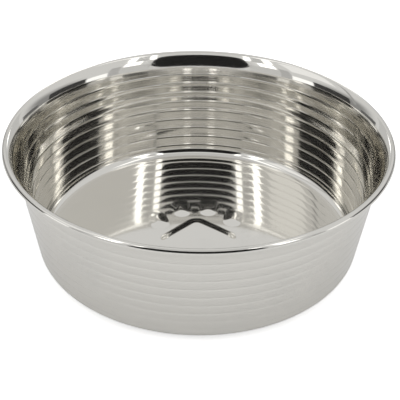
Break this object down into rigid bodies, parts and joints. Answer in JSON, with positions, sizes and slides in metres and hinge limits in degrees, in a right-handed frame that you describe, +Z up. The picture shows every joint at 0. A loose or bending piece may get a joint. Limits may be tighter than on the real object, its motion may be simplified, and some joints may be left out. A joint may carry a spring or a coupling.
{
  "type": "pet bowl",
  "caption": "Round polished steel pet bowl with a ribbed tapering wall, rolled lip, raised paw print in the floor and a bonded rubber ring under the base that stops it sliding.",
  "frame": {"origin": "centre of the bowl's footprint on the surface that it stands on, under the bowl's axis", "axes": "+Z up the bowl's axis; +Y towards the toes of the paw print, so a viewer at -Y sees the paw upright"},
  "size_m": [0.214, 0.214, 0.07],
  "materials": {
    "polished_steel": "mirror-polished stainless sheet with faint turning marks and fine scratches",
    "black_rubber": "matt moulded rubber"
  },
  "bodies": {
    "root": {"bowl": "polished_steel", "non_slip_ring": "black_rubber"}
  },
  "joints": []
}
